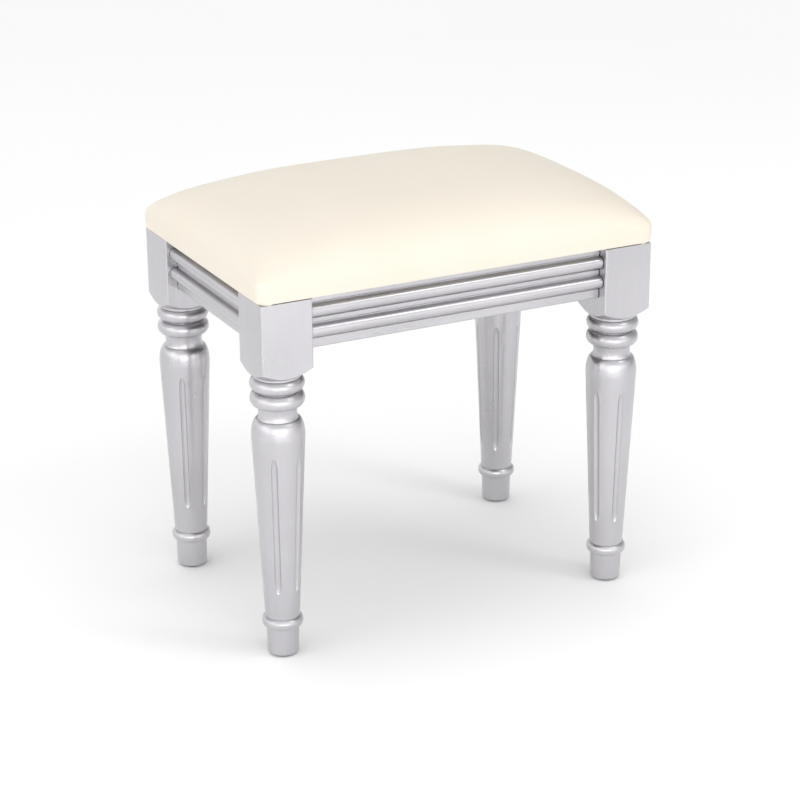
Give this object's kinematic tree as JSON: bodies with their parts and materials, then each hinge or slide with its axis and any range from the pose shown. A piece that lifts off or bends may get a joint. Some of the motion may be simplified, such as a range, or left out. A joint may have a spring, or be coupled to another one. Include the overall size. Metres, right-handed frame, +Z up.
{
  "type": "upholstered dressing stool",
  "caption": "Low rectangular dressing stool: domed upholstered seat on a reeded apron frame with turned, fluted and tapered legs.",
  "frame": {"origin": "centre of the footprint, on the floor", "axes": "+X along the long side of the seat, -Y is the front, +Z up"},
  "size_m": [0.449, 0.304, 0.456],
  "materials": {
    "silver_paint": "satin",
    "bare_wood": "matte",
    "dowel_wood": "matte",
    "plywood": "matte",
    "cream_leatherette": "satin",
    "foam": "matte",
    "black_nonwoven": "matte",
    "zinc_steel": "satin",
    "yellow_zinc": "satin",
    "staple_steel": "satin",
    "glide_plastic": "satin"
  },
  "bodies": {
    "root": {"leg_front_left": "silver_paint", "leg_front_right": "silver_paint", "leg_rear_right": "silver_paint", "leg_rear_left": "silver_paint", "apron_front": "silver_paint", "apron_right": "silver_paint", "apron_rear": "silver_paint", "apron_left": "silver_paint", "corner_block_front_left": "bare_wood", "corner_block_front_right": "bare_wood", "corner_block_rear_right": "bare_wood", "corner_block_rear_left": "bare_wood", "glide_front_left": "glide_plastic", "glide_front_right": "glide_plastic", "glide_rear_right": "glide_plastic", "glide_rear_left": "glide_plastic", "apron_dowels": "dowel_wood", "hanger_bolts": "zinc_steel", "hanger_washers": "zinc_steel", "hanger_nuts": "zinc_steel", "corner_block_screws": "yellow_zinc", "seat_screws": "yellow_zinc", "seat_board": "plywood", "foam_pad": "foam", "seat_cover": "cream_leatherette", "cover_staples": "staple_steel", "dust_cover": "black_nonwoven", "dust_cover_staples": "staple_steel"}
  },
  "joints": []
}
